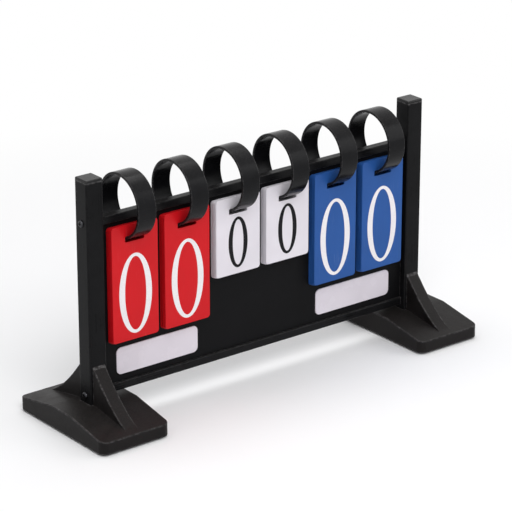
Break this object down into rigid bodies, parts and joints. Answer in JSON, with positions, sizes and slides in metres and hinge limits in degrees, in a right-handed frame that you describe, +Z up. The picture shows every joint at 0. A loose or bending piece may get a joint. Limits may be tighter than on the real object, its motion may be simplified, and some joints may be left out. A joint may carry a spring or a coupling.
{
  "type": "tabletop flip scoreboard",
  "caption": "Free-standing tabletop scoreboard: two posts on broad feet carry a dark panel, and packs of numbered cards swing over the top rail on strap rings.",
  "frame": {"origin": "on the table, under the middle of the board", "axes": "+Z up; +X along the board, to the right as seen from the front; the front faces -Y"},
  "size_m": [0.4346, 0.13, 0.23],
  "materials": {
    "frame_plastic": "satin black plastic tube and rail",
    "panel_plastic": "fine-grained black board",
    "foot_plastic": "moulded black plastic, softly lit",
    "ring_plastic": "smooth black plastic strap",
    "card_red": "red sheet plastic with white numerals",
    "card_blue": "blue sheet plastic with white numerals",
    "card_white": "white sheet plastic with black numerals",
    "plate_white": "blank white write-on plate",
    "pad_rubber": "matt black rubber",
    "screw_steel": "plated steel",
    "screw_black": "blackened steel"
  },
  "bodies": {
    "frame": {"left_foot": "foot_plastic", "right_foot": "foot_plastic", "left_foot_pads": "pad_rubber", "right_foot_pads": "pad_rubber", "left_post": "frame_plastic", "right_post": "frame_plastic", "left_post_cap": "frame_plastic", "right_post_cap": "frame_plastic", "left_post_plug": "foot_plastic", "right_post_plug": "foot_plastic", "foot_screws": "screw_steel", "rail_screws": "screw_black", "top_rail": "frame_plastic", "bottom_rail": "frame_plastic", "back_panel": "panel_plastic", "left_name_plate": "plate_white", "right_name_plate": "plate_white", "home_tens_ring": "ring_plastic", "home_ones_ring": "ring_plastic", "home_sets_ring": "ring_plastic", "guest_sets_ring": "ring_plastic", "guest_tens_ring": "ring_plastic", "guest_ones_ring": "ring_plastic", "ring_rivets": "ring_plastic"},
    "home_tens_rear_cards": {"home_tens_cards_2_to_9": "card_red"},
    "home_tens_next_card": {"home_tens_card_1": "card_red"},
    "home_tens_front_card": {"home_tens_card_0": "card_red"},
    "home_ones_rear_cards": {"home_ones_cards_2_to_9": "card_red"},
    "home_ones_next_card": {"home_ones_card_1": "card_red"},
    "home_ones_front_card": {"home_ones_card_0": "card_red"},
    "home_sets_rear_cards": {"home_sets_cards_2_to_9": "card_white"},
    "home_sets_next_card": {"home_sets_card_1": "card_white"},
    "home_sets_front_card": {"home_sets_card_0": "card_white"},
    "guest_sets_rear_cards": {"guest_sets_cards_2_to_9": "card_white"},
    "guest_sets_next_card": {"guest_sets_card_1": "card_white"},
    "guest_sets_front_card": {"guest_sets_card_0": "card_white"},
    "guest_tens_rear_cards": {"guest_tens_cards_2_to_9": "card_blue"},
    "guest_tens_next_card": {"guest_tens_card_1": "card_blue"},
    "guest_tens_front_card": {"guest_tens_card_0": "card_blue"},
    "guest_ones_rear_cards": {"guest_ones_cards_2_to_9": "card_blue"},
    "guest_ones_next_card": {"guest_ones_card_1": "card_blue"},
    "guest_ones_front_card": {"guest_ones_card_0": "card_blue"}
  },
  "joints": [
    {"name": "home_tens_flip_rest", "type": "hinge", "parent": "frame", "child": "home_tens_rear_cards", "pos_m": [-0.14125, 0, 0.19701], "axis": [-1, 0, 0], "range_deg": [0, 320]},
    {"name": "home_tens_flip_1", "type": "hinge", "parent": "home_tens_rear_cards", "child": "home_tens_next_card", "pos_m": [-0.14125, 0, 0.19701], "axis": [-1, 0, 0], "range_deg": [0, 320]},
    {"name": "home_tens_flip_0", "type": "hinge", "parent": "home_tens_next_card", "child": "home_tens_front_card", "pos_m": [-0.14125, 0, 0.19701], "axis": [-1, 0, 0], "range_deg": [0, 320]},
    {"name": "home_ones_flip_rest", "type": "hinge", "parent": "frame", "child": "home_ones_rear_cards", "pos_m": [-0.08475, 0, 0.19701], "axis": [-1, 0, 0], "range_deg": [0, 320]},
    {"name": "home_ones_flip_1", "type": "hinge", "parent": "home_ones_rear_cards", "child": "home_ones_next_card", "pos_m": [-0.08475, 0, 0.19701], "axis": [-1, 0, 0], "range_deg": [0, 320]},
    {"name": "home_ones_flip_0", "type": "hinge", "parent": "home_ones_next_card", "child": "home_ones_front_card", "pos_m": [-0.08475, 0, 0.19701], "axis": [-1, 0, 0], "range_deg": [0, 320]},
    {"name": "home_sets_flip_rest", "type": "hinge", "parent": "frame", "child": "home_sets_rear_cards", "pos_m": [-0.02825, 0, 0.19701], "axis": [-1, 0, 0], "range_deg": [0, 320]},
    {"name": "home_sets_flip_1", "type": "hinge", "parent": "home_sets_rear_cards", "child": "home_sets_next_card", "pos_m": [-0.02825, 0, 0.19701], "axis": [-1, 0, 0], "range_deg": [0, 320]},
    {"name": "home_sets_flip_0", "type": "hinge", "parent": "home_sets_next_card", "child": "home_sets_front_card", "pos_m": [-0.02825, 0, 0.19701], "axis": [-1, 0, 0], "range_deg": [0, 320]},
    {"name": "guest_sets_flip_rest", "type": "hinge", "parent": "frame", "child": "guest_sets_rear_cards", "pos_m": [0.02825, 0, 0.19701], "axis": [-1, 0, 0], "range_deg": [0, 320]},
    {"name": "guest_sets_flip_1", "type": "hinge", "parent": "guest_sets_rear_cards", "child": "guest_sets_next_card", "pos_m": [0.02825, 0, 0.19701], "axis": [-1, 0, 0], "range_deg": [0, 320]},
    {"name": "guest_sets_flip_0", "type": "hinge", "parent": "guest_sets_next_card", "child": "guest_sets_front_card", "pos_m": [0.02825, 0, 0.19701], "axis": [-1, 0, 0], "range_deg": [0, 320]},
    {"name": "guest_tens_flip_rest", "type": "hinge", "parent": "frame", "child": "guest_tens_rear_cards", "pos_m": [0.08475, 0, 0.19701], "axis": [-1, 0, 0], "range_deg": [0, 320]},
    {"name": "guest_tens_flip_1", "type": "hinge", "parent": "guest_tens_rear_cards", "child": "guest_tens_next_card", "pos_m": [0.08475, 0, 0.19701], "axis": [-1, 0, 0], "range_deg": [0, 320]},
    {"name": "guest_tens_flip_0", "type": "hinge", "parent": "guest_tens_next_card", "child": "guest_tens_front_card", "pos_m": [0.08475, 0, 0.19701], "axis": [-1, 0, 0], "range_deg": [0, 320]},
    {"name": "guest_ones_flip_rest", "type": "hinge", "parent": "frame", "child": "guest_ones_rear_cards", "pos_m": [0.14125, 0, 0.19701], "axis": [-1, 0, 0], "range_deg": [0, 320]},
    {"name": "guest_ones_flip_1", "type": "hinge", "parent": "guest_ones_rear_cards", "child": "guest_ones_next_card", "pos_m": [0.14125, 0, 0.19701], "axis": [-1, 0, 0], "range_deg": [0, 320]},
    {"name": "guest_ones_flip_0", "type": "hinge", "parent": "guest_ones_next_card", "child": "guest_ones_front_card", "pos_m": [0.14125, 0, 0.19701], "axis": [-1, 0, 0], "range_deg": [0, 320]}
  ]
}
